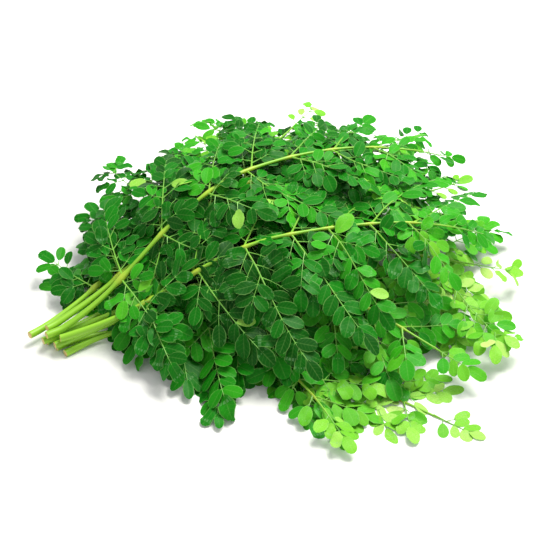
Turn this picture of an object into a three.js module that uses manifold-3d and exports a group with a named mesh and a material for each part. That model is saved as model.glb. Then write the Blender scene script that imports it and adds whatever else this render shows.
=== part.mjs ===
// A bunch of cut moringa fronds lying on a table: nine stalks gathered at one end,
// their leaves fanned out over each other in a low heap. Millimetres, +Z up.
// +X runs from the cut ends to the leaf tips, and the heap lies on the plane z = 0.
//
// Each frond is one solid: a tapered stalk, the pinnae that leave it in pairs, and on
// them the leaflets, cut as lobes in the outline of one thin arched blade a pinna.
// A frond keeps to its own level of the heap, so no frond passes through another.
import * as THREE from "three";
import { mergeVertices } from "three/addons/utils/BufferGeometryUtils.js";
import Module from "manifold-3d";

const wasm = await Module();
wasm.setup();

const RAD = Math.PI / 180;

// The layout below is drawn from a point under the heap. This is where the middle of
// the whole bunch comes out in it, and the bunch is moved back by as much.
const BUNCH_CENTRE = { x: 7.7, y: 44.3 };

// A frond's own sizes. The stalk is a five-sided tube with one flat side down.
const CUT_RADIUS = 3.4;
const STALK_RADIUS = 2.3;
const TIP_RADIUS = 0.8;
const SWOLLEN_SHARE = 0.22;
const STALK = { sides: 5, steps: 14 };
const RIB_HALF = 0.8;
const BLADE = 1.1;

// The bundle of stalks: where its cut ends lie, which way it faces, and for how far each
// stalk keeps to the way it sets out. The stalks are stacked in rows, the first on the
// table, for as far as they stay together, and then rise steeply to their levels.
const BUNDLE = { x: -192, y: -38, heading: 22 * RAD, reach: 105, together: 12, parts: 190 };
const STEEPNESS = 1.6;
const FIRST_ROW = CUT_RADIUS * Math.cos(Math.PI / STALK.sides);
const ROW_PITCH = 7.6;

// The heap of leaves, an ellipse seen from above. Its levels lie a gap apart over a low
// mound, and part of the gap is lost towards the edge, where the leaves thin out.
const HEAP = { x: 14, y: 60, halfLength: 215, halfWidth: 150 };
const MOUND_HEIGHT = 17;
const LOWEST_LEVEL = 1;
const LEVEL_GAP = 11;
const GAP_LOST = { front: 0.5, back: 0.12 };
const BLADE_CLEARANCE = 0.85;

// Leaflets are fewer here than on the plant, and at the large end of their real size.
// A pinna has one pair of them, and one more from each of these lengths on.
const LEAFLET = { length: 24, width: 14.5, pitch: 14, lean: 56 * RAD, widest: 0.55 };
const END_LEAFLET = 1.12;
const SHORTEST_STALK = 6;
const PAIRS_FROM = [60, 92, 128];

// Pinna pairs along the leafy part of a frond: where each leaves it and how long it is,
// as shares of the whole, and the angles at which the first and last of them leave.
const PAIRS = [
  { at: 0, reach: 1 },
  { at: 0.16, reach: 0.98 },
  { at: 0.31, reach: 0.93 },
  { at: 0.46, reach: 0.84 },
  { at: 0.6, reach: 0.72 },
  { at: 0.74, reach: 0.58 },
  { at: 0.87, reach: 0.44 },
];
const EVEN = { lean: 1, reach: PAIRS.map(() => 1) };
const LONGEST_PINNA = 132;
const END_SPRAY = 50;
const PINNA_ANGLE = { first: 74 * RAD, last: 46 * RAD };
const PINNA_CURL = { usual: 0.0016, varies: 0.0014 };

// How a pinna's blade lies about its frond's level, in millimetres and slopes. Neighbours
// lie on opposite shelves, a little above and below, so that their leaflets interleave.
const LIE = { shelf: 3, pitch: 0.02, roll: 0.05, fold: 0.06, ruffle: 2 };
const SHELF_REACHED = 28;
const EASES_AT = 5;

// Fronds from the lowest level of the heap to the highest. across and along place the
// cut end in the bundle and out is the way the stalk sets out from it, in degrees. x and
// y are the end of the rachis, heading the way it points there, and bare is the stalk
// without leaves. On one side the pinnae may leave at another angle, by lean, and each
// reach further or less far, by reach. settles takes a frond down to the table behind.
const FRONDS = [
  { name: "frond_1_front_right", colour: 0x6cc43c, row: 0, across: -3, along: 4, out: 34,
    x: 140, y: -120, heading: -34, bare: 100,
    right: { lean: 0.94, reach: [0.3, 0.4, 0.6, 0.85, 0.95, 0.9, 0.85] } },
  { name: "frond_2_back_right", colour: 0x46a43a, row: 0, across: 7, along: -2, out: 38,
    x: 150, y: 176, heading: 24, bare: 70, settles: true,
    left: { lean: 1.35, reach: [0.62, 0.75, 0.8, 0.9, 1, 1.1, 1.1] } },
  { name: "frond_3_front", colour: 0x2f7d20, row: 0, across: -13, along: 9, out: 38,
    x: 46, y: -124, heading: -64, bare: 108,
    left: { lean: 0.9, reach: [0.8, 0.8, 0.8, 0.8, 0.9, 1, 1] },
    right: { lean: 1.15, reach: [0.62, 0.95, 0.5, 0.4, 0.3, 0.4, 0.5] } },
  { name: "frond_4_right", colour: 0x6fb650, row: 1, across: 2, along: -6, out: 30,
    x: 180, y: 40, heading: -2, bare: 78,
    left: { lean: 1.2, reach: [0.85, 0.8, 0.8, 0.9, 1.1, 1.5, 1.9] },
    right: { lean: 1.15, reach: [0.4, 0.7, 0.8, 0.9, 1.1, 1.5, 1.9] } },
  { name: "frond_5_right_front", colour: 0x3da02c, row: 1, across: -7, along: 2, out: 28,
    x: 142, y: -64, heading: -36, bare: 96,
    right: { lean: 1.3, reach: [0.6, 0.9, 0.75, 0.7, 0.8, 0.9, 0.9] } },
  { name: "frond_6_back", colour: 0x4a9c3c, row: 1, across: 12, along: -15, out: 42,
    x: 22, y: 214, heading: 58, bare: 76,
    left: { lean: 1.3, reach: [0.5, 0.65, 0.85, 0.9, 1, 1.05, 1.1] },
    right: { lean: 1, reach: [0.4, 0.6, 0.9, 1, 1, 1.1, 1.2] } },
  { name: "frond_7_back_right_top", colour: 0x46aa40, row: 2, across: 8, along: 0, out: 38,
    x: 114, y: 180, heading: 34, bare: 78,
    left: { lean: 1.1, reach: [0.65, 0.75, 1, 1.1, 1.15, 1.15, 1.15] },
    right: { lean: 0.9, reach: [0.8, 0.9, 1.05, 1.1, 1.3, 1.4, 1.4] } },
  { name: "frond_8_middle_top", colour: 0x3c9a30, row: 2, across: -8, along: 7, out: 14,
    x: 158, y: 40, heading: 10, bare: 80,
    left: { lean: 1, reach: [0.9, 1, 1, 1.1, 1.35, 1.6, 1.8] },
    right: { lean: 1.3, reach: [0.66, 0.85, 1, 1, 1.05, 1.1, 1.2] } },
  { name: "frond_9_crest", colour: 0x4eae40, row: 2, across: 0, along: -3, out: 30,
    x: 134, y: 134, heading: 6, bare: 76,
    left: { lean: 1, reach: [0.75, 0.8, 0.85, 0.85, 0.9, 1, 1.1] },
    right: { lean: 1.2, reach: [0.66, 0.4, 0.55, 1, 1, 1.1, 1.2] } },
];

const lerp = (from, to, share) => from + (to - from) * share;

function smooth(from, to, value) {
  const share = Math.min(1, Math.max(0, (value - from) / (to - from)));
  return share * share * (3 - 2 * share);
}

// A fixed draw between -1 and 1 for up to four whole numbers: the same on every run.
function draw(...key) {
  const weights = [127.1, 311.7, 74.7, 19.3];
  const wild = Math.sin(key.reduce((sum, number, i) => sum + number * weights[i], 0)) * 43758.5453;
  return 2 * (wild - Math.floor(wild)) - 1;
}

// The height of a frond's level above a place on the table, and how far its leaves may
// rise or sink there without meeting the levels above and below.
function levelAt(frond, place) {
  const along = (place.x - HEAP.x) / HEAP.halfLength;
  const deep = (place.y - HEAP.y) / HEAP.halfWidth;
  const out = Math.hypot(along, deep);
  const behind = 0.5 + (0.5 * deep) / Math.max(out, 0.01);
  const gap = LEVEL_GAP * (1 - lerp(GAP_LOST.front, GAP_LOST.back, behind) * smooth(0.45, 1.15, out));
  const mound = LOWEST_LEVEL + MOUND_HEIGHT * (1 - smooth(0.1, 0.95, out));
  const settled = frond.settles ? smooth(0.45, 0.8, out) * smooth(0, 0.4, deep) : 0;
  const fromCut = Math.hypot(place.x - BUNDLE.x, place.y - BUNDLE.y) - BUNDLE.together;
  const parted = 1 - (1 - Math.min(1, Math.max(0, fromCut / BUNDLE.parts))) ** STEEPNESS;
  return {
    height: lerp(FIRST_ROW + ROW_PITCH * frond.row, mound + frond.level * gap * (1 - settled), parted),
    room: Math.max(0.2, 0.5 * gap * parted - BLADE_CLEARANCE),
  };
}

// A closed solid from a three.js geometry, and a faceted geometry from a solid.
function solidFrom(geometry) {
  geometry.deleteAttribute("normal");
  geometry.deleteAttribute("uv");
  const merged = mergeVertices(geometry, 1e-4);
  return new wasm.Manifold(new wasm.Mesh({
    numProp: 3,
    vertProperties: merged.attributes.position.array,
    triVerts: new Uint32Array(merged.index.array),
  }));
}

function geometryFrom(solid) {
  const { vertProperties, triVerts } = solid.getMesh();
  const geometry = new THREE.BufferGeometry();
  geometry.setAttribute("position", new THREE.BufferAttribute(vertProperties, 3));
  geometry.setIndex(new THREE.BufferAttribute(triVerts, 1));
  const faceted = geometry.toNonIndexed();
  faceted.computeVertexNormals();
  return faceted;
}

// A cylinder bent along points, with its radius at each share of its length.
function taperedStem(points, radiusAt, sides) {
  const curve = new THREE.CatmullRomCurve3(points);
  const geometry = new THREE.CylinderGeometry(1, 1, 1, sides, points.length - 1);
  const corners = geometry.attributes.position;
  const corner = new THREE.Vector3();
  const up = new THREE.Vector3(0, 0, 1);
  for (let i = 0; i < corners.count; i++) {
    corner.fromBufferAttribute(corners, i);
    const share = corner.y + 0.5;
    const ahead = curve.getTangent(share);
    const side = new THREE.Vector3().crossVectors(ahead, up).normalize();
    const over = new THREE.Vector3().crossVectors(side, ahead);
    const at = curve.getPoint(share)
      .addScaledVector(side, corner.x * radiusAt(share))
      .addScaledVector(over, corner.z * radiusAt(share));
    corners.setXYZ(i, at.x, at.y, at.z);
  }
  return solidFrom(geometry);
}

// The edge of a spray that lies along +X, from its root to its tip: a bare stretch, then
// leaflets cut in to the rib. The other edge mirrors it.
function sprayEdge({ bare, pairs, size }) {
  const length = LEAFLET.length * size;
  const halfWidth = LEAFLET.width * size * 0.5;
  const pitch = LEAFLET.pitch * size;
  const edge = [new THREE.Vector2(0, RIB_HALF)];
  const out = new THREE.Vector2(Math.cos(LEAFLET.lean), Math.sin(LEAFLET.lean));
  const back = new THREE.Vector2(-out.y, out.x);
  for (let pair = 0; pair < pairs; pair++) {
    const root = new THREE.Vector2(bare + pair * pitch, RIB_HALF);
    const widest = root.clone().addScaledVector(out, length * LEAFLET.widest);
    edge.push(
      root,
      widest.clone().addScaledVector(back, halfWidth),
      root.clone().addScaledVector(out, length),
      widest.clone().addScaledVector(back, -halfWidth),
    );
  }
  const last = bare + (pairs - 0.4) * pitch;
  edge.push(
    new THREE.Vector2(last, RIB_HALF),
    new THREE.Vector2(last + length * LEAFLET.widest * END_LEAFLET, halfWidth * END_LEAFLET),
    new THREE.Vector2(last + length * END_LEAFLET, 0),
  );
  return edge;
}

function sprayOutline(spray) {
  const left = sprayEdge(spray);
  const right = left.slice(0, -1).map((point) => new THREE.Vector2(point.x, -point.y));
  return [...right, ...left.reverse()];
}

// The spray that stands for a pinna of this length.
function sprayFor(length, size) {
  const pairs = 1 + PAIRS_FROM.filter((least) => length > least).length;
  const leafy = ((pairs - 0.4) * LEAFLET.pitch + LEAFLET.length * END_LEAFLET) * size;
  return { bare: Math.max(SHORTEST_STALK, length - leafy), pairs, size };
}

// A place at a distance along an arc and to its side. The arc starts at root, and its
// heading turns by curl for every millimetre.
function alongArc({ root, heading, curl }, distance, aside) {
  const turned = curl * distance;
  const forward = Math.sin(turned) / curl - aside * Math.sin(turned);
  const over = (1 - Math.cos(turned)) / curl + aside * Math.cos(turned);
  return {
    x: root.x + forward * Math.cos(heading) - over * Math.sin(heading),
    y: root.y + forward * Math.sin(heading) + over * Math.cos(heading),
  };
}

// A pinna as a thin blade: its spray bent along an arc and laid on its frond's level.
// It starts inside the stalk, at the root's own height.
function pinnaBlade(frond, arc, spray, shelf, key) {
  const shape = new THREE.Shape(sprayOutline(spray));
  const geometry = new THREE.ExtrudeGeometry(shape, { depth: BLADE, bevelEnabled: false });
  const pitch = LIE.pitch * draw(...key, 4);
  const roll = LIE.roll * draw(...key, 5);
  const fold = LIE.fold * (1 + 0.8 * draw(...key, 6));
  const corners = geometry.attributes.position;
  const corner = new THREE.Vector3();
  for (let i = 0; i < corners.count; i++) {
    corner.fromBufferAttribute(corners, i);
    const at = alongArc(arc, corner.x, corner.y);
    const { height, room } = levelAt(frond, at);
    const aside = Math.abs(corner.y);
    const ruffle = LIE.ruffle * smooth(2, 9, aside) * draw(...key, Math.round(corner.x + 3 * corner.y));
    const lift = shelf * smooth(0, SHELF_REACHED, corner.x) + pitch * corner.x + roll * corner.y
      - fold * aside + ruffle;
    const laid = height + room * Math.tanh(lift / EASES_AT);
    const middle = lerp(arc.root.z, laid, smooth(2, 16, corner.x));
    corners.setXYZ(i, at.x, at.y, Math.max(0, middle - BLADE / 2) + corner.z);
  }
  return solidFrom(geometry);
}

// The line of a frond's stalk: places on it by distance from the cut, and its points.
function frondLine(frond) {
  const ahead = new THREE.Vector2(Math.cos(BUNDLE.heading), Math.sin(BUNDLE.heading));
  const aside = new THREE.Vector2(-ahead.y, ahead.x);
  const cut = new THREE.Vector2(BUNDLE.x, BUNDLE.y)
    .addScaledVector(ahead, frond.along)
    .addScaledVector(aside, frond.across);
  const settingOut = new THREE.Vector2(Math.cos(frond.out * RAD), Math.sin(frond.out * RAD));
  const tip = new THREE.Vector2(frond.x, frond.y);
  const pointing = new THREE.Vector2(Math.cos(frond.heading * RAD), Math.sin(frond.heading * RAD));
  const plan = new THREE.CubicBezierCurve(
    cut,
    cut.clone().addScaledVector(settingOut, BUNDLE.reach),
    tip.clone().addScaledVector(pointing, -0.4 * cut.distanceTo(tip)),
    tip,
  );
  const points = [];
  for (let step = 0; step <= STALK.steps; step++) {
    const share = step / STALK.steps;
    const at = plan.getPointAt(share);
    const height = Math.max(levelAt(frond, at).height, stalkRadius(share));
    points.push(new THREE.Vector3(at.x, at.y, step ? height : FIRST_ROW + ROW_PITCH * frond.row));
  }
  const placeAt = (share) => {
    const at = plan.getPointAt(share);
    const way = plan.getTangentAt(share);
    const step = Math.min(STALK.steps - 1, Math.floor(share * STALK.steps));
    const z = lerp(points[step].z, points[step + 1].z, share * STALK.steps - step);
    return { x: at.x, y: at.y, z, heading: Math.atan2(way.y, way.x) };
  };
  return { points, placeAt, length: plan.getLength() };
}

function stalkRadius(share) {
  const swollen = (CUT_RADIUS - STALK_RADIUS) * (1 - smooth(0, SWOLLEN_SHARE, share));
  return lerp(STALK_RADIUS, TIP_RADIUS, share) + swollen;
}

// A whole frond as one solid: stalk and rachis, its pairs of pinnae and the end spray.
function frondSolid(frond) {
  const line = frondLine(frond);
  const solids = [taperedStem(line.points, stalkRadius, STALK.sides)];
  const leafy = line.length - frond.bare;
  PAIRS.forEach((pair, order) => {
    for (const side of [-1, 1]) {
      const key = [frond.level, order, side];
      const changed = (side > 0 ? frond.left : frond.right) ?? EVEN;
      const root = line.placeAt((frond.bare + leafy * pair.at + 4 * draw(...key, 0)) / line.length);
      const lean = lerp(PINNA_ANGLE.first, PINNA_ANGLE.last, Math.sqrt(pair.at)) * changed.lean;
      const heading = root.heading + side * lean + 9 * RAD * draw(...key, 1);
      const length = LONGEST_PINNA * pair.reach * changed.reach[order] * (1 + 0.08 * draw(...key, 2));
      const curl = -side * (PINNA_CURL.usual + PINNA_CURL.varies * draw(...key, 3)) + 1e-6;
      const shelf = LIE.shelf * side * (order % 2 ? 1 : -1);
      const spray = sprayFor(length, lerp(1, 0.82, pair.at));
      solids.push(pinnaBlade(frond, { root, heading, curl }, spray, shelf, key));
    }
  });
  const end = line.placeAt(0.995);
  const endArc = { root: end, heading: end.heading, curl: 0.001 };
  solids.push(pinnaBlade(frond, endArc, sprayFor(END_SPRAY, 0.85), 0, [frond.level, PAIRS.length, 0]));
  // Where leaflets of one frond cross, they can close off a pocket between them. The
  // frond is the one large body of the join, with any such pocket filled.
  const bodies = wasm.Manifold.union(solids).decompose();
  return bodies.reduce((best, body) => (body.volume() > best.volume() ? body : best));
}

const bunch = new THREE.Group();
bunch.position.set(-BUNCH_CENTRE.x, -BUNCH_CENTRE.y, 0);
FRONDS.forEach((frond, level) => {
  const material = new THREE.MeshStandardMaterial({ color: frond.colour, roughness: 0.5, metalness: 0 });
  const mesh = new THREE.Mesh(geometryFrom(frondSolid({ ...frond, level })), material);
  mesh.name = frond.name;
  bunch.add(mesh);
});

export default bunch;
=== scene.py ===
# %% [markdown]
# A bunch of moringa leaf, cut for the kitchen: nine fronds lie on a table with their stalk ends
# together and their leaves fanned out over each other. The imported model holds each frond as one
# faceted solid. This lesson grows the same nine fronds again along the same lines, with every
# leaflet, twig and cut end at its real size, and gives them the finish of fresh green leaf.

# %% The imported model
import math

import bpy
import numpy as np
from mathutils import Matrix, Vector


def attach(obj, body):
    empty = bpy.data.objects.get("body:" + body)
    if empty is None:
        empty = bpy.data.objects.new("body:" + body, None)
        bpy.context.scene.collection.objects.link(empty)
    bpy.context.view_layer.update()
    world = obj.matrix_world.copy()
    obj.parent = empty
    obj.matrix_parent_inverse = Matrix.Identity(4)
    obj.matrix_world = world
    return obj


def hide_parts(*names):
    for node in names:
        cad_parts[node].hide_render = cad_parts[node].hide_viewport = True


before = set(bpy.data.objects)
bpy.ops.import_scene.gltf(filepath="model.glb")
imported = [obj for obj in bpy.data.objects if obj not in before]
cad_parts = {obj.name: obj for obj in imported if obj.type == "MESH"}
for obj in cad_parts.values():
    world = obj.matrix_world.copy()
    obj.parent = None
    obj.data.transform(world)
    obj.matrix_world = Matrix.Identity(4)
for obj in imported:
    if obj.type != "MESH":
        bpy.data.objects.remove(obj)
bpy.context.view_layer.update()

MM = 0.001
print("fronds:", sorted(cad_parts))

# %% [markdown]
# Each frond keeps to a level of its own, like the skins of an onion over a low mound, so that
# nine fronds can lie in one heap without growing through each other. The heap could also be
# made by a simulation, but a formula for the height of a level gives the same heap every time,
# and it is the one that the solids follow. The layout is in millimetres, drawn from a point
# under the heap, and it is moved to the middle of the bunch when a mesh is made. from and to
# say where a change starts and ends, as a share of the way from the middle to the rim.

# %% The heap
BUNCH_CENTRE = np.array([7.7, 44.3, 0.0])
HEAP = {"x": 14, "y": 60, "half_length": 215, "half_width": 150}
MOUND = {"height": 17, "from": 0.1, "to": 0.95}
LOWEST_LEVEL = 1
LEVEL_GAP = 11
GAP_LOST = {"front": 0.5, "back": 0.12, "from": 0.45, "to": 1.15}
SETTLED = {"from": 0.45, "to": 0.8, "deep": 0.4}
print("heap in mm:", 2 * HEAP["half_length"], "by", 2 * HEAP["half_width"])

# %% [markdown]
# The cut stalks lie in three rows on the table, as a hand laid them down. They run together for
# a short way, then part and climb to their levels. A stalk is about 7 mm thick at its cut, and
# the rachis that it runs on as tapers from 4.6 mm to 1.6 mm. swollen is the share of its length
# in which the thickness of the cut runs out. The stalks of the solids have five sides, and the
# lowest row lies on its flats.

# %% The bundle of stalks
BUNDLE = {"x": -192, "y": -38, "heading": math.radians(22), "reach": 105,
          "together": 12, "parts": 190, "steepness": 1.6}
STALK = {"cut": 3.4, "rachis": 2.3, "tip": 0.8, "swollen": 0.22, "solid_sides": 5}
ROW_PITCH = 7.6
FIRST_ROW = STALK["cut"] * math.cos(math.pi / STALK["solid_sides"])
print("rows of stalks in mm:", [round(FIRST_ROW + row * ROW_PITCH, 1) for row in range(3)])

# %% [markdown]
# The nine fronds, from the lowest to the highest. row, across and along place the cut end in the
# bundle, and out is the way the stalk sets out from it. x and y are the tip of the frond,
# heading the way it points there, and bare is the length of stalk without leaves. left and right
# change the lean of the pinnae on one side, and the reach of each. A frond that settles lies down
# behind the heap. tone is the colour of the leaves, from deep green at 0 to the pale yellow-green
# of young leaf at 1, young is how much of that the tip gains, and leaf is the size of the
# leaflets. divided is the share of a pinna that carries side twigs, and crossed are the pairs of
# pinnae that have a twig lying over the stalk.

# %% The nine fronds
EVEN = (1, (1,) * 7)
CROSSED = (1, 2, 3, 4)
FRONDS = [
    dict(name="frond_1_front_right", row=0, across=-3, along=4, out=34, x=140, y=-120, heading=-34,
         bare=100, right=(0.94, (0.3, 0.4, 0.6, 0.85, 0.95, 0.9, 0.85)),
         tone=0.6, young=0.3, leaf=1.06, divided=0.35),
    dict(name="frond_2_back_right", row=0, across=7, along=-2, out=38, x=150, y=176, heading=24,
         bare=70, settles=True, left=(1.35, (0.62, 0.75, 0.8, 0.9, 1, 1.1, 1.1)),
         tone=0.46, young=0.4, leaf=0.9, divided=0.8),
    dict(name="frond_3_front", row=0, across=-13, along=9, out=38, x=46, y=-124, heading=-64,
         bare=108, left=(0.9, (0.8, 0.8, 0.8, 0.8, 0.9, 1, 1)),
         right=(1.15, (0.62, 0.95, 0.5, 0.4, 0.3, 0.4, 0.5)),
         tone=0.36, young=0.5, leaf=1.12, divided=0.3),
    dict(name="frond_4_right", row=1, across=2, along=-6, out=30, x=180, y=40, heading=-2,
         bare=78, left=(1.2, (0.85, 0.8, 0.8, 0.9, 1.1, 1.5, 1.9)),
         right=(1.15, (0.4, 0.7, 0.8, 0.9, 1.1, 1.5, 1.9)),
         tone=0.5, young=0.4, leaf=1.12, divided=0.9),
    dict(name="frond_5_right_front", row=1, across=-7, along=2, out=28, x=142, y=-64, heading=-36,
         bare=96, right=(1.3, (0.6, 0.9, 0.75, 0.7, 0.8, 0.9, 0.9)),
         tone=0.5, young=0.25, leaf=1.08, divided=0.3),
    dict(name="frond_6_back", row=1, across=12, along=-15, out=42, x=22, y=214, heading=58,
         bare=76, left=(1.3, (0.5, 0.65, 0.85, 0.9, 1, 1.05, 1.1)),
         right=(1, (0.4, 0.6, 0.9, 1, 1, 1.1, 1.2)),
         tone=0.42, young=0.48, leaf=0.88, divided=0.85),
    dict(name="frond_7_back_right_top", row=2, across=8, along=0, out=38, x=114, y=180, heading=34,
         bare=78, left=(1.1, (0.65, 0.75, 1, 1.1, 1.15, 1.15, 1.15)),
         right=(0.9, (0.8, 0.9, 1.05, 1.1, 1.3, 1.4, 1.4)),
         tone=0.38, young=0.16, leaf=0.9, divided=0.9),
    dict(name="frond_8_middle_top", row=2, across=-8, along=7, out=14, x=158, y=40, heading=10,
         bare=80, left=(1, (0.9, 1, 1, 1.1, 1.35, 1.6, 1.8)),
         right=(1.3, (0.66, 0.85, 1, 1, 1.05, 1.1, 1.2)), crossed=(0, 1),
         tone=0.36, young=0.25, leaf=1.06, divided=0.34),
    dict(name="frond_9_crest", row=2, across=0, along=-3, out=30, x=134, y=134, heading=6,
         bare=76, left=(1, (0.75, 0.8, 0.85, 0.85, 0.9, 1, 1.1)),
         right=(1.2, (0.66, 0.4, 0.55, 1, 1, 1.1, 1.2)), crossed=(1, 2),
         tone=0.42, young=0.14, leaf=0.96, divided=0.5),
]
for level, frond in enumerate(FRONDS):
    frond["level"] = level
print("fronds in each row:", [sum(frond["row"] == row for frond in FRONDS) for row in range(3)])

# %% [markdown]
# The height of a level depends on the place alone. In the middle of the heap it is the mound and
# one gap for each frond below. Towards the rim the mound runs out and the gaps shrink, most at
# the front, where the leaves press each other down. Near the cut ends every level runs into its
# row of the bundle. CLOSEST only keeps the very middle from a division by zero.

# %% Heights in the heap
CLOSEST = 0.01


def lerp(start, end, share):
    """The value that lies a share of the way from start to end."""
    return start + (end - start) * share


def smooth(start, end, value):
    """A share that rises from 0 at start to 1 at end, slowly near both."""
    share = np.clip((value - start) / (end - start), 0, 1)
    return share * share * (3 - 2 * share)


def level_at(frond, x, y):
    """The height of a frond's level above the table, and the gap there to the next level."""
    along = (x - HEAP["x"]) / HEAP["half_length"]
    deep = (y - HEAP["y"]) / HEAP["half_width"]
    out = np.hypot(along, deep)
    behind = 0.5 + 0.5 * deep / np.maximum(out, CLOSEST)
    lost = lerp(GAP_LOST["front"], GAP_LOST["back"], behind)
    gap = LEVEL_GAP * (1 - lost * smooth(GAP_LOST["from"], GAP_LOST["to"], out))
    mound = LOWEST_LEVEL + MOUND["height"] * (1 - smooth(MOUND["from"], MOUND["to"], out))
    settled = 0
    if frond.get("settles"):
        settled = smooth(SETTLED["from"], SETTLED["to"], out) * smooth(0, SETTLED["deep"], deep)
    from_cut = np.hypot(x - BUNDLE["x"], y - BUNDLE["y"]) - BUNDLE["together"]
    parted = 1 - (1 - np.clip(from_cut / BUNDLE["parts"], 0, 1)) ** BUNDLE["steepness"]
    low = FIRST_ROW + ROW_PITCH * frond["row"]
    return lerp(low, mound + frond["level"] * gap * (1 - settled), parted), gap * parted


print("top of the heap:", round(float(level_at(FRONDS[-1], HEAP["x"], HEAP["y"])[0])), "mm")

# %% [markdown]
# A frond's stalk runs on as the rachis that carries its leaves. It starts along the bundle and
# bends to where its tip lies, so in plan it is a Bezier curve, and its level gives the height.
# TIP_PULL is how far the tip's own direction reaches back, as a share of the way to the cut. A
# place on the line is found by its distance from the cut, as a grower would measure it.

# %% The line of a stalk
LINE_POINTS = 401
TIP_PULL = 0.4


def direction(turn):
    return np.array([math.cos(turn), math.sin(turn)])


def stalk_line(frond):
    ahead = direction(BUNDLE["heading"])
    setting_out = direction(math.radians(frond["out"]))
    pointing = direction(math.radians(frond["heading"]))
    aside = np.array([-ahead[1], ahead[0]])
    cut = np.array([BUNDLE["x"], BUNDLE["y"]]) + frond["along"] * ahead + frond["across"] * aside
    tip = np.array([frond["x"], frond["y"]])
    kept = cut + BUNDLE["reach"] * setting_out
    pulled = tip - TIP_PULL * np.linalg.norm(tip - cut) * pointing
    t = np.linspace(0, 1, LINE_POINTS)[:, None]
    plan = ((1 - t) ** 3 * cut + 3 * (1 - t) ** 2 * t * kept
            + 3 * (1 - t) * t ** 2 * pulled + t ** 3 * tip)
    steps = np.linalg.norm(np.diff(plan, axis=0), axis=1)
    return {"plan": plan, "way": np.concatenate([[0], np.cumsum(steps)])}


def on_line(line, distance):
    return np.array([np.interp(distance, line["way"], line["plan"][:, i]) for i in (0, 1)]).T


def stalk_radius(share):
    swollen = (STALK["cut"] - STALK["rachis"]) * (1 - smooth(0, STALK["swollen"], share))
    return lerp(STALK["rachis"], STALK["tip"], share) + swollen


for frond in FRONDS:
    frond["line"] = stalk_line(frond)
print("stalk lengths in mm:", [round(frond["line"]["way"][-1]) for frond in FRONDS])

# %% [markdown]
# What grows is gathered first and made into meshes afterwards. A leaflet is noted by its base,
# the way it points, the way its upper face looks, its size and its tone. A twig is noted by its
# points and radii. Numbers gathered in lists let one array step shape all leaflets of a frond.
# A twig is an arc in plan that lies on its frond's level. At the front of the heap the leaves
# hang steeper than their level, and at the back they tip a little towards the front. Here from
# and to are shares of the way from the middle to the back.

# %% Twigs that follow their level
LEAF_EASE = 1.2
TUBE_EASE = 0.3
STRAIGHT = 1e-6
SLOPE_STEP = 4
HANG = {"front": 1.7, "back": -0.45, "from": -0.2, "to": 0.5}


def above_table(z, ease=LEAF_EASE):
    """Heights eased so that nothing passes into the table: what would, lies along it."""
    return 0.5 * (z + np.sqrt(z * z + ease ** 2))


def arc(root, heading, curl, distance):
    """Plan places along an arc that starts at root and turns by curl for every millimetre."""
    turned = heading + curl * distance
    x = root[0] + (np.sin(turned) - math.sin(heading)) / curl
    y = root[1] + (math.cos(heading) - np.cos(turned)) / curl
    return x, y


def twig_points(frond, twig, distance):
    """Places along a twig. It keeps its root's height over the level, plus its own lift."""
    x, y = arc(twig["root"], twig["heading"], twig["curl"], distance)
    under_root = level_at(frond, twig["root"][0], twig["root"][1])[0]
    z = level_at(frond, x, y)[0] + twig["root"][2] - under_root + twig["lift"](distance)
    return np.column_stack([x, y, above_table(z)])


def unit(vector):
    return vector / np.linalg.norm(vector, axis=-1, keepdims=True)


def twig_axes(frond, twig, distance, roll):
    """The twig's own axes at a place: ahead, to its left, and out of its upper side."""
    near = twig_points(frond, twig, np.array([distance - 1, distance + 1]))
    ahead = unit(near[1] - near[0])
    x, y = near.mean(axis=0)[:2]
    step = SLOPE_STEP
    fall_x = (level_at(frond, x - step, y)[0] - level_at(frond, x + step, y)[0]) / (2 * step)
    fall_y = (level_at(frond, x, y - step)[0] - level_at(frond, x, y + step)[0]) / (2 * step)
    deep = (y - HEAP["y"]) / HEAP["half_width"]
    hang = lerp(HANG["front"], HANG["back"], smooth(HANG["from"], HANG["to"], deep))
    up = np.array([hang * fall_x, hang * fall_y, 1.0])
    left = unit(np.cross(up, ahead))
    up = np.cross(ahead, left)
    rolled_left = math.cos(roll) * left + math.sin(roll) * up
    rolled_up = math.cos(roll) * up - math.sin(roll) * left
    return ahead, rolled_left, rolled_up


front_height = level_at(FRONDS[-1], HEAP["x"], HEAP["y"] - HEAP["half_width"])[0]
print("highest level at the front rim:", round(float(front_height)), "mm")

# %% [markdown]
# Moringa has leaves divided three times. A frond carries pinnae in pairs, the longer pinnae carry
# shorter twigs in pairs, and every twig ends in leaflets in opposite pairs with one at its tip.
# A leaflet lies with the edge towards the tip of its twig a little raised over the next one, as
# roof tiles do, so neighbours overlap and don't meet. No two are alike: SPREAD says how far each
# measure strays, and a few leaflets have begun to yellow.

# %% One leaflet
LEAFLET = {"length": 21, "slender": 0.62, "pitch": 10.2, "stalklet": 0.6, "sag": 0.1, "fold": 0.12}
SHINGLE = math.radians(12)
DROOP = math.radians(6)
SPREAD = {"droop": math.radians(9), "roll": math.radians(9), "length": 0.09, "slender": 0.07,
          "sag": 0.07, "fold": 0.14, "wave": 0.05, "tone": 0.05}
FURTHEST = 1.6
YELLOWING = {"share": 0.008, "tone": 0.9}


def varied(chance, usual, spread):
    """A draw round a usual value that never strays far from it."""
    return usual + spread * min(FURTHEST, max(-FURTHEST, chance.normal()))


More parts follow.
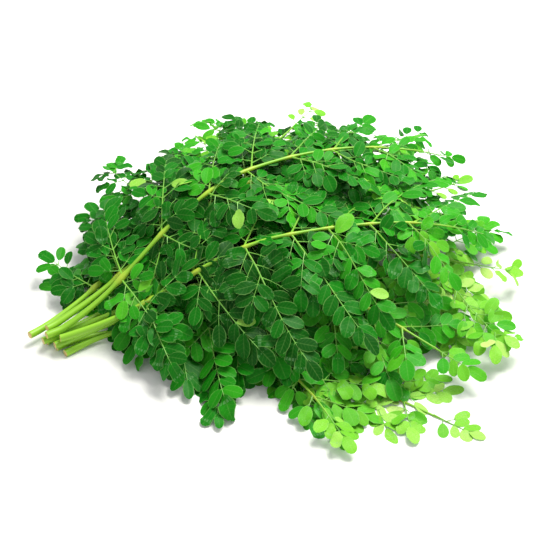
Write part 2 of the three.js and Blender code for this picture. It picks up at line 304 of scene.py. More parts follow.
def add_leaflet(growth, at, ahead, left, up, side, lean, size, tone, chance):
    flat = math.cos(lean) * ahead + side * math.sin(lean) * left
    droop = varied(chance, DROOP, SPREAD["droop"])
    out = math.cos(droop) * flat - math.sin(droop) * up
    face = math.cos(droop) * up + math.sin(droop) * flat
    roll = varied(chance, SHINGLE if side else 0, SPREAD["roll"])
    turn = -side * roll if side else roll
    edge = np.cross(face, out)
    leaflet = {
        "root": at, "out": out, "face": math.cos(turn) * face - math.sin(turn) * edge,
        "length": LEAFLET["length"] * size * (1 + SPREAD["length"] * chance.normal()),
        "slender": LEAFLET["slender"] * (1 + SPREAD["slender"] * chance.normal()),
        "sag": LEAFLET["sag"] + SPREAD["sag"] * chance.normal(),
        "fold": LEAFLET["fold"] + SPREAD["fold"] * chance.normal(),
        "wave": SPREAD["wave"] * chance.normal()}
    yellow = chance.random() < YELLOWING["share"]
    leaflet["tone"] = YELLOWING["tone"] if yellow else tone + SPREAD["tone"] * chance.normal()
    growth["leaflets"].append(leaflet)


print("leaflet in mm:", LEAFLET["length"], "by", round(LEAFLET["length"] * LEAFLET["slender"]))

# %% [markdown]
# The pairs of leaflets are set out from the tip of a twig back to where it starts, because the
# leaflet at the tip and the last pair always sit close together. They lean forward more towards
# the tip, and they are a little smaller there. A pair is left out where less than 0.6 of its
# pitch is free.

# %% Leaflets on a twig
LEAN = {"first": math.radians(66), "last": math.radians(44), "spread": math.radians(5),
        "end_spread": math.radians(6)}
FADE = {"first": 1.04, "last": 0.88}
LAST_PAIR = 0.62
ROUNDED_UP = 0.4


def add_leaflet_pairs(growth, frond, twig, first, size, tone, roll, chance):
    reach = twig["length"]
    pitch = LEAFLET["pitch"] * size
    pairs = int(max(0, reach - first) / pitch + ROUNDED_UP)
    places = reach - pitch * (LAST_PAIR + np.arange(pairs))
    for place in places[::-1]:
        at = twig_points(frond, twig, np.array([place]))[0]
        axes = twig_axes(frond, twig, place, roll)
        share = place / reach
        lean = lerp(LEAN["first"], LEAN["last"], share) + LEAN["spread"] * chance.normal()
        fade = size * lerp(FADE["first"], FADE["last"], share)
        for side in (-1, 1):
            add_leaflet(growth, at, *axes, side, lean, fade, tone, chance)
    at = twig_points(frond, twig, np.array([reach]))[0]
    axes = twig_axes(frond, twig, reach - 1, roll)
    add_leaflet(growth, at, *axes, 0, LEAN["end_spread"] * chance.normal(), size, tone, chance)


print("pairs of leaflets stand", LEAFLET["pitch"], "mm apart")

# %% [markdown]
# A twig is a thin tube that starts a little inside what it grows from and swells there. Apart
# from the swelling, a pinna is 1.5 mm thick at its root, and a side twig half of that. The radii
# are given from root to tip. Its age sets its colour, from the green of the stalk at 0 to the
# pale green of the finest twigs at 1.

# %% Twigs
TWIG = {"step": 7, "fewest_steps": 3, "sunk": 0.6, "past_tip": 0.4, "sides": 5,
        "swelling": 0.55, "swollen": 3.2}
TWIG_RADIUS = {"pinna": (0.75, 0.3), "side": (0.38, 0.22)}
TWIG_AGE = {"pinna": 0.3, "side": 0.6, "tip": 1}


def add_twig(growth, frond, twig, kind):
    steps = max(TWIG["fewest_steps"], int(twig["length"] / TWIG["step"]))
    distance = np.linspace(-TWIG["sunk"], twig["length"] + TWIG["past_tip"], steps + 1)
    swelling = 1 + TWIG["swelling"] * np.exp(-(distance / TWIG["swollen"]) ** 2)
    radius = np.linspace(*TWIG_RADIUS[kind], steps + 1) * swelling
    age = np.linspace(TWIG_AGE[kind], TWIG_AGE["tip"], steps + 1)
    growth["twigs"].append({"points": twig_points(frond, twig, distance), "radius": radius,
                            "age": age, "sides": TWIG["sides"]})


print("twigs at their roots in mm:", {kind: 2 * root for kind, (root, _) in TWIG_RADIUS.items()})

# %% [markdown]
# A pinna is one of the paired branches of a frond. It rises or falls to a shelf of its own, at
# most two thirds of the gap to the next level, so that neighbours lie by turns over and under
# each other, and it sags towards its tip. Its side twigs come in pairs and get shorter along it.

# %% Pinnae
PINNA = {"bends_in": 28, "eased": 5, "filled": 1.3, "least_room": 0.5, "pitch": 0.03, "sag": 3,
         "sag_spread": 2.5, "roll_spread": math.radians(13), "tip_leaflet": 0.95, "leaves_after": 7}
SIDE_TWIG = {"first": 8, "pitch": 13, "pitch_spread": 1.5, "lean": math.radians(52),
             "lean_spread": math.radians(6), "reach": 0.34, "reach_spread": 0.08,
             "tip_leaflet": 0.6, "shortest": 4, "bare": 3, "curl": 0.006, "curl_spread": 0.003,
             "slope": -0.1, "slope_spread": 0.12, "falls": 0.0016, "leaf": 0.9,
             "tone_spread": 0.07, "roll": math.radians(8), "roll_spread": math.radians(18)}


def side_twig(frond, pinna, at, side, length, size, chance):
    """A side twig that leaves its pinna near at, on one side, where side is -1 or 1."""
    place = at + SIDE_TWIG["pitch_spread"] * chance.normal()
    slope = SIDE_TWIG["slope"] + SIDE_TWIG["slope_spread"] * chance.normal()
    root = twig_points(frond, pinna, np.array([place]))[0]
    lean = SIDE_TWIG["lean"] + SIDE_TWIG["lean_spread"] * chance.normal()
    reach = (SIDE_TWIG["reach"] * (length - 0.5 * at)
             * (1 + SIDE_TWIG["reach_spread"] * chance.normal()))
    bare_reach = reach - LEAFLET["length"] * size * SIDE_TWIG["tip_leaflet"]
    curl = -side * SIDE_TWIG["curl"] + SIDE_TWIG["curl_spread"] * chance.normal() + STRAIGHT
    return {"root": root, "heading": pinna["heading"] + pinna["curl"] * place + side * lean,
            "curl": curl, "length": max(SIDE_TWIG["shortest"], bare_reach),
            "lift": lambda distance: slope * distance - SIDE_TWIG["falls"] * distance ** 2}


def grow_pinna(growth, frond, root, heading, curl, length, shelf, size, tone, chance):
    """One pinna with its side twigs and leaflets, laid on its frond's level."""
    room = max(PINNA["least_room"], 0.5 * float(level_at(frond, *root[:2])[1]))
    pitch = PINNA["pitch"] * chance.normal()
    sag = max(0, PINNA["sag"] + PINNA["sag_spread"] * chance.normal())

    def lift(distance):
        rise = shelf * smooth(0, PINNA["bends_in"], distance) + pitch * distance
        kept_in_room = PINNA["filled"] * room * np.tanh(rise / PINNA["eased"])
        return kept_in_room - sag * smooth(0, length, distance)

    reach = length - LEAFLET["length"] * size * PINNA["tip_leaflet"]
    pinna = {"root": root, "heading": heading, "curl": curl, "length": reach, "lift": lift}
    add_twig(growth, frond, pinna, "pinna")
    roll = PINNA["roll_spread"] * chance.normal()
    places = np.arange(SIDE_TWIG["first"], frond["divided"] * length, SIDE_TWIG["pitch"])
    for at in places:
        for side in (-1, 1):
            twig = side_twig(frond, pinna, at, side, length, size, chance)
            add_twig(growth, frond, twig, "side")
            own_tone = varied(chance, tone, SIDE_TWIG["tone_spread"])
            own_roll = varied(chance, side * SIDE_TWIG["roll"], SIDE_TWIG["roll_spread"])
            add_leaflet_pairs(growth, frond, twig, SIDE_TWIG["bare"], size * SIDE_TWIG["leaf"],
                              own_tone, own_roll, chance)
    last = (places[-1] if len(places) else 0) + PINNA["leaves_after"]
    add_leaflet_pairs(growth, frond, pinna, last, size, tone, roll, chance)


print("side twigs in pairs every", SIDE_TWIG["pitch"], "mm from", SIDE_TWIG["first"], "mm on")

# %% [markdown]
# A few short twigs lie slantwise over the stalk, as many do in a heap. Without them the stalks on
# top would show from end to end, as on a fern laid flat.

# %% Twigs over the stalk
OVER_STALK = {"beside": 6, "angle": math.radians(17), "length": 24, "length_spread": 0.2,
              "lift": 4.5, "lifts_in": 10, "bare": 4}


def grow_over_stalk(growth, frond, root, heading, side, size, tone, chance):
    """A short twig from beside the stalk that crosses it from one side, where side is -1 or 1."""
    aside = side * np.array([-math.sin(heading), math.cos(heading), 0])
    length = OVER_STALK["length"] * (1 + OVER_STALK["length_spread"] * chance.normal())
    twig = {"root": root + OVER_STALK["beside"] * aside,
            "heading": heading - side * OVER_STALK["angle"], "curl": STRAIGHT, "length": length,
            "lift": lambda distance: OVER_STALK["lift"] * smooth(0, OVER_STALK["lifts_in"], distance)}
    add_twig(growth, frond, twig, "side")
    add_leaflet_pairs(growth, frond, twig, OVER_STALK["bare"], size * SIDE_TWIG["leaf"],
                      tone, side * SIDE_TWIG["roll"], chance)


print("twigs over each stalk:", [len(frond.get("crossed", CROSSED)) for frond in FRONDS])

# %% [markdown]
# A frond has seven pairs of pinnae, the longest at the bottom, and one spray at its end. PAIRS
# gives where each pair stands along the leafy stretch, and how long it is against the longest.
# Where a pinna stands and turns strays by fixed draws, which the solids use too, so that it lies
# in the same place in both. Everything finer comes from one seeded generator for each frond.

# %% A whole frond
LONGEST_PINNA = 132
PAIRS = [(0, 1), (0.16, 0.98), (0.31, 0.93), (0.46, 0.84), (0.6, 0.72), (0.74, 0.58), (0.87, 0.44)]
PINNA_ANGLE = {"first": math.radians(74), "last": math.radians(46)}
STRAYS = {"place": 4, "heading": math.radians(9), "length": 0.08, "tone": 0.06}
CURL = {"usual": 0.0016, "spread": 0.0014}
SHELF = 3
TIP_LEAF = 0.82
YOUNG_TOWARDS_TIP = 1.5
END_SPRAY = {"length": 50, "at": 0.995, "curl": 0.001, "leaf": 0.8}
FIRST_SEED = 100
DRAW_WEIGHTS = (127.1, 311.7, 74.7, 19.3)
DRAW_SCALE = 43758.5453


def draw(*key):
    """A fixed draw between -1 and 1 for up to four whole numbers."""
    wild = DRAW_SCALE * math.sin(sum(n * weight for n, weight in zip(key, DRAW_WEIGHTS)))
    return 2 * (wild - math.floor(wild)) - 1


def stalk_place(frond, distance):
    """The place on a stalk at a distance from its cut, and the way the stalk heads there."""
    before, here, after = on_line(frond["line"], distance + np.array([-1, 0, 1]))
    least = stalk_radius(distance / frond["line"]["way"][-1])
    height = max(float(level_at(frond, *here)[0]), least)
    return np.array([*here, height]), math.atan2(*(after - before)[::-1])


def grow_frond(frond):
    chance = np.random.default_rng(FIRST_SEED + frond["level"])
    growth = {"leaflets": [], "twigs": [], "joints": []}
    whole = frond["line"]["way"][-1]
    leafy = whole - frond["bare"]
    for order, (at, reach) in enumerate(PAIRS):
        for side in (-1, 1):
            key = (frond["level"], order, side)
            lean_change, reach_change = frond.get("left" if side > 0 else "right", EVEN)
            distance = frond["bare"] + leafy * at + STRAYS["place"] * draw(*key, 0)
            root, ahead = stalk_place(frond, distance)
            growth["joints"].append(distance)
            lean = lerp(PINNA_ANGLE["first"], PINNA_ANGLE["last"], math.sqrt(at)) * lean_change
            heading = ahead + side * lean + STRAYS["heading"] * draw(*key, 1)
            usual_length = LONGEST_PINNA * reach * reach_change[order]
            length = usual_length * (1 + STRAYS["length"] * draw(*key, 2))
            curl = -side * (CURL["usual"] + CURL["spread"] * draw(*key, 3)) + STRAIGHT
            young = frond["young"] * at ** YOUNG_TOWARDS_TIP
            tone = frond["tone"] + young + STRAYS["tone"] * chance.normal()
            size = frond["leaf"] * lerp(1, TIP_LEAF, at)
            shelf = SHELF * side * (1 if order % 2 else -1)
            grow_pinna(growth, frond, root, heading, curl, length, shelf, size, tone, chance)
            if shelf > 0 and order in frond.get("crossed", CROSSED):
                grow_over_stalk(growth, frond, root, ahead, side, size, tone, chance)
    root, ahead = stalk_place(frond, whole * END_SPRAY["at"])
    grow_pinna(growth, frond, root, ahead, END_SPRAY["curl"], END_SPRAY["length"], 0,
               frond["leaf"] * END_SPRAY["leaf"], frond["tone"] + frond["young"], chance)
    return growth


for frond in FRONDS:
    frond["growth"] = grow_frond(frond)
print("leaflets:", sum(len(frond["growth"]["leaflets"]) for frond in FRONDS))
print("twigs:", sum(len(frond["growth"]["twigs"]) for frond in FRONDS))

# %% [markdown]
# A leaflet is a thin blade that is widest past its middle and rounded at its tip. It is modelled
# as a closed pillow: an upper and a lower face that share their rim, folded a little along the
# midrib, bent down towards the tip and slightly waved. All leaflets share one pattern of corners,
# which is stretched along each leaflet's own axes. A pattern costs far less time than a
# subdivided model for each of some thousands of leaflets.

# %% The pattern of a leaflet
ROWS = 7
COLUMNS = 4


def leaflet_pattern():
    share = 0.5 - 0.5 * np.cos(np.pi * np.arange(ROWS + 1) / ROWS)
    across = np.linspace(-1, 1, COLUMNS + 1)
    corners, number, place = [], {}, {}
    for face in (1, -1):
        for row in range(ROWS + 1):
            for column in range(COLUMNS + 1):
                end = row in (0, ROWS)
                rim = end or column in (0, COLUMNS)
                key = (row, 0 if end else column, 0 if rim else face)
                if key not in number:
                    number[key] = len(corners)
                    corners.append((share[row], 0 if end else across[column], 0 if rim else face))
                place[face, row, column] = number[key]
    rings = []
    for face in (1, -1):
        for row in range(ROWS):
            for column in range(COLUMNS):
                ring = [place[face, row, column], place[face, row + 1, column],
                        place[face, row + 1, column + 1], place[face, row, column + 1]]
                rings.append(list(dict.fromkeys(ring))[::face])
    return np.array(corners, dtype=float), rings


PATTERN, PATTERN_RINGS = leaflet_pattern()
print("corners in a leaflet:", len(PATTERN), "faces:", len(PATTERN_RINGS))

# %% [markdown]
# The outline of a moringa leaflet is an egg shape, which two powers give: one for how fast it
# widens from its base and one for how fast it closes to its tip. The blade is a third of a
# millimetre thick, a little more than real leaf, so that its edge still catches the light.

# %% Leaflets made from the pattern
WIDEST = (0.62, 0.5)
BLADE = {"thickness": 0.34, "groove": 0.25, "rounded": 0.25, "fold_eased": 0.4, "shortened": 0.25}
WAVES = 3


def outline(share):
    rise, fall = WIDEST
    peak = rise / (rise + fall)
    return share ** rise * (1 - share) ** fall / (peak ** rise * (1 - peak) ** fall)


def column_of(leaflets, name):
    return np.array([leaflet[name] for leaflet in leaflets])


def leaflet_corners(leaflets):
    share, across, face = PATTERN.T
    length, slender, fold, sag, wave = [
        column_of(leaflets, name)[:, None] for name in ("length", "slender", "fold", "sag", "wave")]
    y = 0.5 * length * slender * outline(share) * across
    folded = fold * np.abs(y) * (1 - BLADE["fold_eased"] * np.abs(across))
    sagged = sag * length * share ** 2
    waved = wave * length * across * np.sin(WAVES * np.pi * share)
    body = 0.5 * BLADE["thickness"] * face * np.sin(np.pi * share) ** BLADE["rounded"]
    groove = BLADE["groove"] * (across == 0) * np.sin(np.pi * share)
    x = length * share * (1 - BLADE["shortened"] * sag * share)
    z = folded - sagged + waved + body - groove
    out, up = column_of(leaflets, "out"), column_of(leaflets, "face")
    side = np.cross(up, out)
    root = column_of(leaflets, "root") + LEAFLET["stalklet"] * out
    placed = (root[:, None] + x[..., None] * out[:, None] + y[..., None] * side[:, None]
              + z[..., None] * up[:, None])
    placed[..., 2] = above_table(placed[..., 2])
    return placed.reshape(-1, 3)


print("a leaflet is widest at", round(WIDEST[0] / sum(WIDEST), 2), "of its length")

# %% [markdown]
# Blender takes a mesh as a list of corners and a list of rings, each the corner numbers of one
# face. Every corner also carries numbers under names of their own, such as the tone of its
# leaflet or how far along it lies. The finishes read these, so one material colours every leaf.
# Edges that turn by more than sharp_from stay crisp, and all others are shaded smooth.

# %% A mesh from corners and rings
LEAF_SHARP = math.radians(70)


def make_piece(name, corners, rings, notes, sharp_from):
    """A closed mesh in metres with a number for every corner under each name in notes."""
    mesh = bpy.data.meshes.new(name)
    mesh.from_pydata(((corners - BUNCH_CENTRE) * MM).tolist(), [], rings)
    for note, values in notes.items():
        layer = mesh.attributes.new(note, "FLOAT", "POINT")
        layer.data.foreach_set("value", np.asarray(values, dtype=np.float32))
    mesh.polygons.foreach_set("use_smooth", np.ones(len(mesh.polygons), dtype=bool))
    mesh.set_sharp_from_angle(angle=sharp_from)
    mesh.update()
    piece = bpy.data.objects.new(name, mesh)
    bpy.context.scene.collection.objects.link(piece)
    return piece


def repeated_rings(rings, size, count):
    return [[corner + size * i for corner in ring] for i in range(count) for ring in rings]


def make_leaflets(frond):
    leaflets = frond["growth"]["leaflets"]
    count = len(leaflets)
    share, across, face = (np.tile(values, count) for values in PATTERN.T)
    notes = {"along": share, "across": across, "under": np.where(face < 0, 1.0, 0.0),
             "tone": np.repeat(column_of(leaflets, "tone"), len(PATTERN))}
    return make_piece(frond["name"] + "_leaflets", leaflet_corners(leaflets),
                      repeated_rings(PATTERN_RINGS, len(PATTERN), count), notes, LEAF_SHARP)


print("most leaflets on a frond:", max(len(frond["growth"]["leaflets"]) for frond in FRONDS))

# %% [markdown]
# Stalks and twigs are round tubes that taper, with a slight swelling where something grows from
# them. Curves with a bevel would give tubes too, but rings of corners let each tube carry its age
# and its streaks, and close with a cut face of its own.

# %% Tubes
def tube(points, radius, sides):
    """The corners and rings of a tube through the points, closed at both ends."""
    ahead = unit(np.gradient(points, axis=0))
    side = unit(np.cross(ahead, (0, 0, 1)))
    over = np.cross(side, ahead)
    angle = 2 * np.pi * np.arange(sides) / sides
    around = (np.cos(angle)[None, :, None] * side[:, None]
              + np.sin(angle)[None, :, None] * over[:, None])
    corners = (points[:, None] + np.asarray(radius)[:, None, None] * around).reshape(-1, 3)
    last = (len(points) - 1) * sides
    rings = []
    for start in range(0, last, sides):
        for here in range(sides):
            beside = (here + 1) % sides
            rings.append([start + here, start + sides + here, start + sides + beside, start + beside])
    return corners, rings + [list(range(sides)), list(range(last + sides - 1, last - 1, -1))]


crest_twig = FRONDS[-1]["growth"]["twigs"][0]
print("corners in a twig:", len(crest_twig["points"]) * crest_twig["sides"])

# %% [markdown]
# The stalk swells at every joint where a pinna leaves it, and most at its two lowest ones. A knife
# left a clean cut at its end, with a rim that is slightly worn, so three rings of the tube stand
# close together there and the rest are even.

# %% The stalk and its joints
STALK_TUBE = {"sides": 14, "rings": 90, "even_from": 4, "cut_rings": (0, 0.25, 0.8),
              "cut_within": 0.2, "worn": 0.93, "age": 0.3}
JOINT = {"swelling": 0.3, "half_length": 4.5, "lowest_share": 0.95, "lowest_half_length": 6}


def stalk_tube(frond):
    """The stalk and rachis, with a swollen joint at each pinna and a clean cut at its end."""
    whole = frond["line"]["way"][-1]
    even = np.linspace(STALK_TUBE["even_from"], whole, STALK_TUBE["rings"])
    distance = np.concatenate([STALK_TUBE["cut_rings"], even])
    plan = on_line(frond["line"], distance)
    radius = stalk_radius(distance / whole)
    z = np.maximum(level_at(frond, *plan.T)[0], radius)
    from_joints = distance[:, None] - np.array(frond["growth"]["joints"])[None, :]
    swollen = np.exp(-(from_joints / JOINT["half_length"]) ** 2).max(axis=1)
    lowest = np.exp(-(from_joints[:, :2] / JOINT["lowest_half_length"]) ** 2).max(axis=1)
    lowest = JOINT["lowest_share"] * lowest
    radius = radius * (1 + JOINT["swelling"] * swollen + JOINT["swelling"] * lowest)
    radius[0] *= STALK_TUBE["worn"]
    return {"points": np.column_stack([plan, z]), "radius": radius, "swollen": swollen,
            "cut": (distance < STALK_TUBE["cut_within"]) * 1.0,
            "age": STALK_TUBE["age"] * distance / whole, "sides": STALK_TUBE["sides"]}


print("cut stalk in mm:", round(2 * float(stalk_radius(0)), 1), "thick")

# %% [markdown]
# Every leaflet hangs on a stalklet about half a millimetre thick. All tubes of a frond go into one
# mesh, and each side of a tube gets a random number that the finish turns into a streak.

# %% Stalklets, and all tubes of a frond
STALKLET = {"radii": (0.34, 0.18), "inside": 0.09, "sides": 4}
STALK_SHARP = math.radians(60)


def stalklet_tubes(frond):
    """The short stalks that hold the leaflets, each from inside its twig to inside its leaflet."""
    for leaflet in frond["growth"]["leaflets"]:
        root = leaflet["root"]
        reach = LEAFLET["stalklet"] + STALKLET["inside"] * leaflet["length"]
        points = np.array([root, root + reach * leaflet["out"]])
        points[:, 2] = above_table(points[:, 2])
        yield {"points": points, "radius": STALKLET["radii"], "age": np.full(2, 1.0),
               "sides": STALKLET["sides"]}


def make_stalks(frond):
    streaks = np.random.default_rng(frond["level"])
    corners, rings, notes = [], [], {"age": [], "cut": [], "swollen": [], "streak": []}
    total = 0
    for part in [stalk_tube(frond), *frond["growth"]["twigs"], *stalklet_tubes(frond)]:
        made, own_rings = tube(part["points"], part["radius"], part["sides"])
        made[:, 2] = above_table(made[:, 2], TUBE_EASE)
        rings += [[corner + total for corner in ring] for ring in own_rings]
        corners.append(made)
        total += len(made)
        for note in ("age", "cut", "swollen"):
            values = part.get(note, np.zeros(len(part["points"])))
            notes[note].append(np.repeat(values, part["sides"]))
        notes["streak"].append(np.tile(streaks.random(part["sides"]), len(part["points"])))
    notes = {note: np.concatenate(values) for note, values in notes.items()}
    return make_piece(frond["name"] + "_stalks", np.vstack(corners), rings, notes, STALK_SHARP)


print("stalklets on the crest:", sum(1 for _ in stalklet_tubes(FRONDS[-1])))

# %% [markdown]
# Colours are written as they look on a screen, and one function turns them into the linear light
# that Blender works with. One more adds a node with its settings and links. Some sockets go by
# number: a colour Mix takes its share at 0 and its two colours at 6 and 7, and gives its colour
# at 2, and a Math node takes its numbers from 0 on.

# %% Colours and nodes
def linear(hex_colour):
    """A hex colour as red, green, blue and cover in linear light."""
    parts = [int(hex_colour[i:i + 2], 16) / 255 for i in (1, 3, 5)]
    return (*[p / 12.92 if p <= 0.04045 else ((p + 0.055) / 1.055) ** 2.4 for p in parts], 1)


def add_node(tree, kind, inputs=None, **settings):
    """A new node whose inputs are values, or sockets of other nodes to link from."""
    node = tree.nodes.new(kind)
    for name, value in settings.items():
        setattr(node, name, value)
    for socket, value in (inputs or {}).items():
        if isinstance(value, bpy.types.NodeSocket):
            tree.links.new(value, node.inputs[socket])
        else:
            node.inputs[socket].default_value = value
    return node


def new_material(name):
    material = bpy.data.materials.new(name)
    material.use_nodes = True
    material.node_tree.nodes.clear()
    return material, material.node_tree


def set_ramp(node, stops):
    ramp = node.color_ramp
    while len(ramp.elements) < len(stops):
        ramp.elements.new(1)
    for element, (place, colour) in zip(ramp.elements, stops):
        element.position = place
        element.color = linear(colour)


print("the screen's middle grey is", round(linear("#808080")[0], 3), "in linear light")

# %% [markdown]
# Fresh moringa leaf is thin and matt, with a soft shine from its wax, whose index of refraction
# is about 1.42. Light that falls on one face comes out of the other as a brighter yellow-green,
# so a share of the shader lets light through. The midrib is a fine pale line. The margin is painted
# paler, partly for the thinner blade there and partly as a painted highlight of the light that the
# edges catch. The green is uneven in patches of about 5 mm. Side veins are just seen. The real ones
# are 2 to 3 mm apart, and they are drawn 3.5 mm apart so that they show. The lower face is greyer
# than the upper one.

# %% Fresh moringa leaf
LEAF_TONES = [(0.0, "#063602"), (0.28, "#0a5a06"), (0.5, "#148610"), (0.68, "#3cb01a"),
              (0.86, "#86cf38"), (1.0, "#c8e684")]
# The pale colour of the midrib, also used for the painted highlight along the rim of each leaflet.
RIB_AND_RIM_HIGHLIGHT_COLOUR = "#a6dc7a"
VEIN_COLOUR = "#9fd873"
UNDERSIDE_COLOUR = "#8fc487"
UNDERSIDE_SHARE = 0.35
MOTTLE_MM = 5
MOTTLE_SHARE = 0.16
VEIN_GAP_MM = 3.5
VEIN_TURN = 2 * math.pi * LEAFLET["length"] / VEIN_GAP_MM
VEIN_SLANT = 0.22
LEAF_RELIEF_MM = 0.4
LIGHT_THROUGH = 0.3


def fresh_moringa_leaf():
    material, tree = new_material("fresh_moringa_leaf")
    note = {name: add_node(tree, "ShaderNodeAttribute", attribute_name=name).outputs["Fac"]
            for name in ("tone", "along", "across", "under")}
    mottle = add_node(tree, "ShaderNodeTexNoise", {"Scale": 1 / (MOTTLE_MM * MM), "Detail": 3.0})
    shade = add_node(tree, "ShaderNodeMath", {0: mottle.outputs["Fac"], 1: MOTTLE_SHARE,
                                              2: note["tone"]}, operation="MULTIPLY_ADD")
    shade = add_node(tree, "ShaderNodeMath", {0: shade.outputs[0], 1: MOTTLE_SHARE / 2},
                     operation="SUBTRACT")
    tones = add_node(tree, "ShaderNodeValToRGB", {"Fac": shade.outputs[0]})
    set_ramp(tones, LEAF_TONES)
    aside = add_node(tree, "ShaderNodeMath", {0: note["across"]}, operation="ABSOLUTE").outputs[0]
    midrib = add_node(tree, "ShaderNodeMapRange", {"Value": aside, "From Min": 0.02, "From Max": 0.1,
                                                   "To Min": 0.12, "To Max": 0.0})
    # Painted highlight: the rim turns paler towards the edge, partly for the thinner blade and partly
    # for light that the edges catch.
    rim_and_painted_highlight = add_node(tree, "ShaderNodeMapRange", {"Value": aside, "From Min": 0.86, "From Max": 1.0,
                                                   "To Min": 0.0, "To Max": 0.42})
    pale = add_node(tree, "ShaderNodeMath", {0: midrib.outputs[0], 1: rim_and_painted_highlight.outputs[0]},
                    operation="MAXIMUM")
    leaf = add_node(tree, "ShaderNodeMix", {0: pale.outputs[0], 6: tones.outputs["Color"],
                                            7: linear(RIB_AND_RIM_HIGHLIGHT_COLOUR)}, data_type="RGBA")
    slant = add_node(tree, "ShaderNodeMath", {0: aside, 1: -VEIN_SLANT, 2: note["along"]},
                     operation="MULTIPLY_ADD")
    turns = add_node(tree, "ShaderNodeMath", {0: slant.outputs[0], 1: VEIN_TURN},
                     operation="MULTIPLY")
    vein = add_node(tree, "ShaderNodeMath", {0: turns.outputs[0]}, operation="SINE")
    vein = add_node(tree, "ShaderNodeMapRange", {"Value": vein.outputs[0], "From Min": 0.8,
                                                 "From Max": 1.0, "To Min": 0.0, "To Max": 0.06})
    leaf = add_node(tree, "ShaderNodeMix", {0: vein.outputs[0], 6: leaf.outputs[2],
                                            7: linear(VEIN_COLOUR)}, data_type="RGBA")
    below = add_node(tree, "ShaderNodeMath", {0: note["under"], 1: UNDERSIDE_SHARE},
                     operation="MULTIPLY")
    leaf = add_node(tree, "ShaderNodeMix", {0: below.outputs[0], 6: leaf.outputs[2],
                                            7: linear(UNDERSIDE_COLOUR)}, data_type="RGBA")
    relief = add_node(tree, "ShaderNodeMath", {0: vein.outputs[0], 1: pale.outputs[0]},
                      operation="ADD")
    bump = add_node(tree, "ShaderNodeBump", {"Height": relief.outputs[0], "Strength": 0.5,
                                             "Distance": LEAF_RELIEF_MM * MM}, invert=True)
    skin = add_node(tree, "ShaderNodeBsdfPrincipled", {
        "Base Color": leaf.outputs[2], "Roughness": 0.46, "Specular IOR Level": 0.2, "IOR": 1.42,
        "Normal": bump.outputs["Normal"]})
    glow = add_node(tree, "ShaderNodeHueSaturation", {"Hue": 0.485, "Saturation": 1.08, "Value": 1.35,
                                                      "Color": leaf.outputs[2]})
    through = add_node(tree, "ShaderNodeBsdfTranslucent", {"Color": glow.outputs["Color"]})
    both = add_node(tree, "ShaderNodeMixShader", {0: LIGHT_THROUGH, 1: skin.outputs[0],
                                                  2: through.outputs[0]})
    add_node(tree, "ShaderNodeOutputMaterial", {"Surface": both.outputs[0]})
    return material


leaf_finish = fresh_moringa_leaf()
print(leaf_finish.name, "nodes:", len(leaf_finish.node_tree.nodes))

# %% [markdown]
# The stalks are firm and juicy, yellow-green and smooth, with fine lengthwise streaks and a few
# brown spots of about 2.5 mm. The joints are yellower, the twigs paler, and the cut ends have
# dried to a pale brown.

# %% Green stalk
STALK_AGES = [(0.0, "#8fc62c"), (0.25, "#84c036"), (0.55, "#78b848"), (1.0, "#7cc05c")]
STREAK_COLOUR = "#5f9a1c"
STREAK_SHARE = 0.5
JOINT_COLOUR = "#b9c33a"
JOINT_SHARE = 0.55
SPOT_COLOUR = "#b58d4a"
SPOT_MM = 2.5
CUT_COLOUR = "#c9b06a"
STALK_RELIEF_MM = 0.3


def green_stalk_skin():
    material, tree = new_material("green_stalk_skin")
    note = {name: add_node(tree, "ShaderNodeAttribute", attribute_name=name).outputs["Fac"]
            for name in ("age", "cut", "swollen", "streak")}
    ages = add_node(tree, "ShaderNodeValToRGB", {"Fac": note["age"]})
    set_ramp(ages, STALK_AGES)
    streak = add_node(tree, "ShaderNodeMath", {0: note["streak"], 1: STREAK_SHARE},
                      operation="MULTIPLY")
    skin = add_node(tree, "ShaderNodeMix", {0: streak.outputs[0], 6: ages.outputs["Color"],
                                            7: linear(STREAK_COLOUR)}, data_type="RGBA")
    joint = add_node(tree, "ShaderNodeMath", {0: note["swollen"], 1: JOINT_SHARE},
                     operation="MULTIPLY")
    skin = add_node(tree, "ShaderNodeMix", {0: joint.outputs[0], 6: skin.outputs[2],
                                            7: linear(JOINT_COLOUR)}, data_type="RGBA")
    spots = add_node(tree, "ShaderNodeTexNoise", {"Scale": 1 / (SPOT_MM * MM), "Detail": 4.0})
    blush = add_node(tree, "ShaderNodeMapRange", {"Value": spots.outputs["Fac"], "From Min": 0.6,
                                                  "From Max": 0.8, "To Min": 0.0, "To Max": 0.35})
    skin = add_node(tree, "ShaderNodeMix", {0: blush.outputs[0], 6: skin.outputs[2],
                                            7: linear(SPOT_COLOUR)}, data_type="RGBA")
    skin = add_node(tree, "ShaderNodeMix", {0: note["cut"], 6: skin.outputs[2],
                                            7: linear(CUT_COLOUR)}, data_type="RGBA")
    bump = add_node(tree, "ShaderNodeBump", {"Height": spots.outputs["Fac"], "Strength": 0.2,
                                             "Distance": STALK_RELIEF_MM * MM})
    surface = add_node(tree, "ShaderNodeBsdfPrincipled", {
        "Base Color": skin.outputs[2], "Roughness": 0.4, "IOR": 1.45, "Normal": bump.outputs["Normal"]})
    add_node(tree, "ShaderNodeOutputMaterial", {"Surface": surface.outputs[0]})
    return material


stalk_finish = green_stalk_skin()
print(stalk_finish.name, "nodes:", len(stalk_finish.node_tree.nodes))

# %% [markdown]
# Each frond becomes two pieces, its leaflets and its stalks, because each of them has one finish.
# Both stand for the frond's solid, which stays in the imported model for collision, and both ride
# on its one body, because nothing in a bunch of leaf is jointed.

# %% Every frond made and placed
triangles = 0
for frond in FRONDS:
    for made, finish, slot in ((make_leaflets(frond), leaf_finish, "leaflets"),
                               (make_stalks(frond), stalk_finish, "stalks")):
        made.data.materials.append(finish)
        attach(made, "root")
        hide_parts(frond["name"])
        triangles += sum(len(face.vertices) - 2 for face in made.data.polygons)
print("triangles:", triangles)

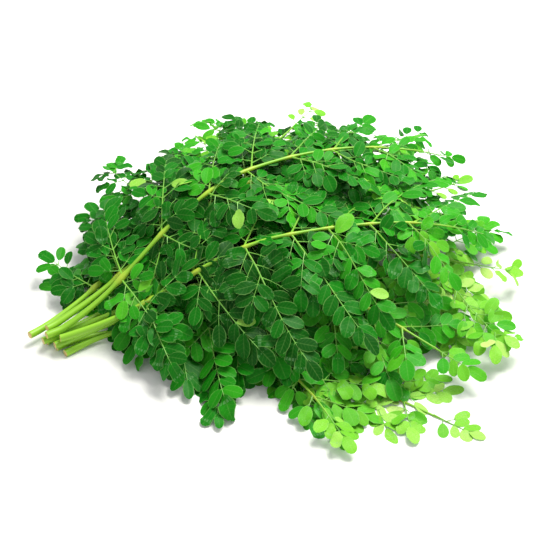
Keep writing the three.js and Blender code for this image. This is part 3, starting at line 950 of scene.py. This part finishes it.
# %% [markdown]
# The bunch lies on a plain pale floor in soft light from all round, with one large lamp behind and
# to the right that gives the upper faces their light. The camera looks down on it as one would at
# a table, through a long lens, and the standard view keeps the greens as strong as they are.

# %% The floor
FLOOR_HALF = 4.0


def make_floor():
    mesh = bpy.data.meshes.new("floor")
    corners = [(x * FLOOR_HALF, y * FLOOR_HALF, 0) for x, y in ((-1, -1), (1, -1), (1, 1), (-1, 1))]
    mesh.from_pydata(corners, [], [[0, 1, 2, 3]])
    floor = bpy.data.objects.new("floor", mesh)
    bpy.context.scene.collection.objects.link(floor)
    material, tree = new_material("pale_floor")
    surface = add_node(tree, "ShaderNodeBsdfPrincipled", {"Base Color": linear("#f4f4f2"),
                                                          "Roughness": 0.9})
    add_node(tree, "ShaderNodeOutputMaterial", {"Surface": surface.outputs[0]})
    mesh.materials.append(material)


make_floor()
print("floor in m:", 2 * FLOOR_HALF, "square")

# %% Light and camera
LOOK_AT = Vector((-0.0108, -0.0294, 0.050))
KEY_LAMP = {"place": (0.5, 0.5, 1.5), "size": 1.0, "power": 42, "colour": "#fffdf6"}
DAYLIGHT = {"colour": "#ffffff", "strength": 0.7}
ELEVATION = math.radians(42)
LENS = 130
SENSOR = 36
VIEW_WIDTH = 0.469
CAMERA_DISTANCE = VIEW_WIDTH * LENS / SENSOR


def aim(holder, place):
    """Puts a lamp or camera at a place and turns it to look at the heap."""
    holder.location = place
    holder.rotation_euler = (LOOK_AT - place).to_track_quat("-Z", "Y").to_euler()
    bpy.context.scene.collection.objects.link(holder)


def make_lamp():
    lamp = bpy.data.lights.new("key_lamp", "AREA")
    lamp.shape = "DISK"
    lamp.size = KEY_LAMP["size"]
    lamp.energy = KEY_LAMP["power"]
    lamp.color = linear(KEY_LAMP["colour"])[:3]
    aim(bpy.data.objects.new("key_lamp", lamp), Vector(KEY_LAMP["place"]))


def make_daylight():
    world = bpy.data.worlds.new("soft_daylight")
    world.use_nodes = True
    background = world.node_tree.nodes["Background"]
    background.inputs["Color"].default_value = linear(DAYLIGHT["colour"])
    background.inputs["Strength"].default_value = DAYLIGHT["strength"]
    bpy.context.scene.world = world


def make_camera():
    camera = bpy.data.cameras.new("camera")
    camera.lens = LENS
    camera.sensor_width = SENSOR
    back = Vector((0, -math.cos(ELEVATION), math.sin(ELEVATION)))
    holder = bpy.data.objects.new("camera", camera)
    aim(holder, LOOK_AT + back * CAMERA_DISTANCE)
    bpy.context.scene.camera = holder


make_lamp()
make_daylight()
make_camera()
bpy.context.scene.view_settings.view_transform = "Standard"
print("the camera stands", round(CAMERA_DISTANCE, 2), "m away")
